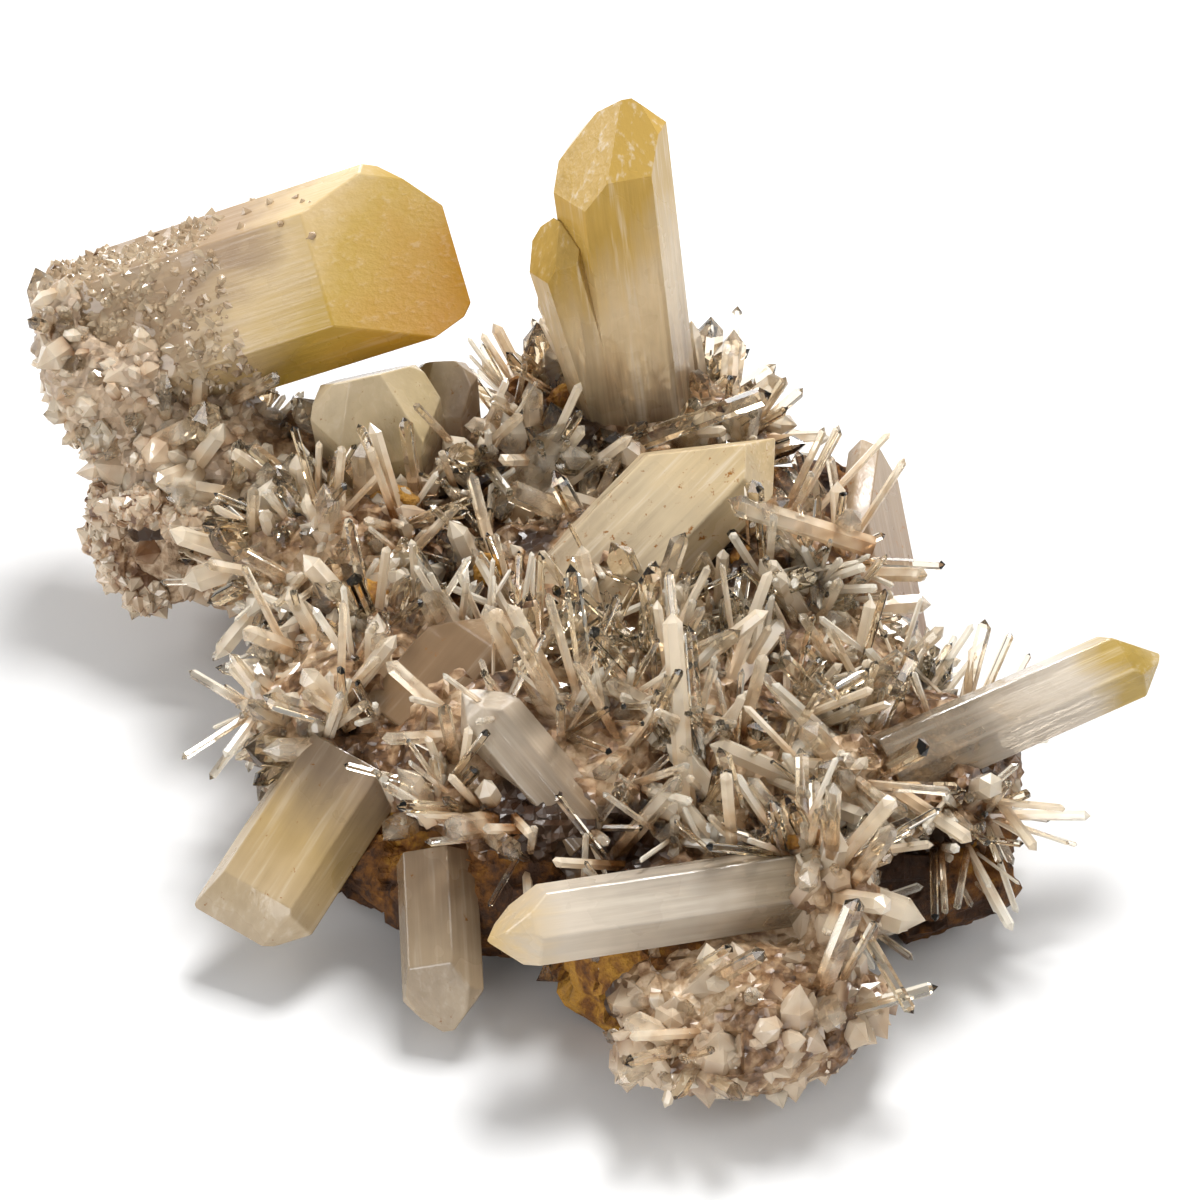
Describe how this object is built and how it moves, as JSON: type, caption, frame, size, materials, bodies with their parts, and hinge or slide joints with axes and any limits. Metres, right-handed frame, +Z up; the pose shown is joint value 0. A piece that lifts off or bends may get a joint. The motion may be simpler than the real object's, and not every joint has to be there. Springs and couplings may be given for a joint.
{
  "type": "mango quartz cluster",
  "caption": "Quartz cluster with mango-yellow crystal tips rising from a spiky clear druse on brown iron-stained rock, resting on a flat spot.",
  "frame": {"origin": "centre of the bounding box's footprint, on the surface that the cluster rests on", "axes": "+Z up from the flat spot, +X to the right along the longest extent, +Y away from the picture's viewer"},
  "size_m": [0.0966, 0.0856, 0.0498],
  "materials": {
    "rock": "rough",
    "clear": "glassy",
    "mango": "glassy",
    "pale_mango": "satin",
    "cream": "glassy",
    "milky": "glassy",
    "pink_crust": "rough"
  },
  "bodies": {
    "root": {"rock": "rock", "druse": "clear", "great_crystal": "mango", "tall_pair": "mango", "stub_pair": "pale_mango", "centre_crystal": "pale_mango", "right_crystal": "mango", "front_crystal": "cream", "hanging_crystal": "milky", "corner_crystal": "cream", "sunken_crystal": "milky", "milky_crystal": "milky", "rim_plate": "pink_crust"}
  },
  "joints": []
}
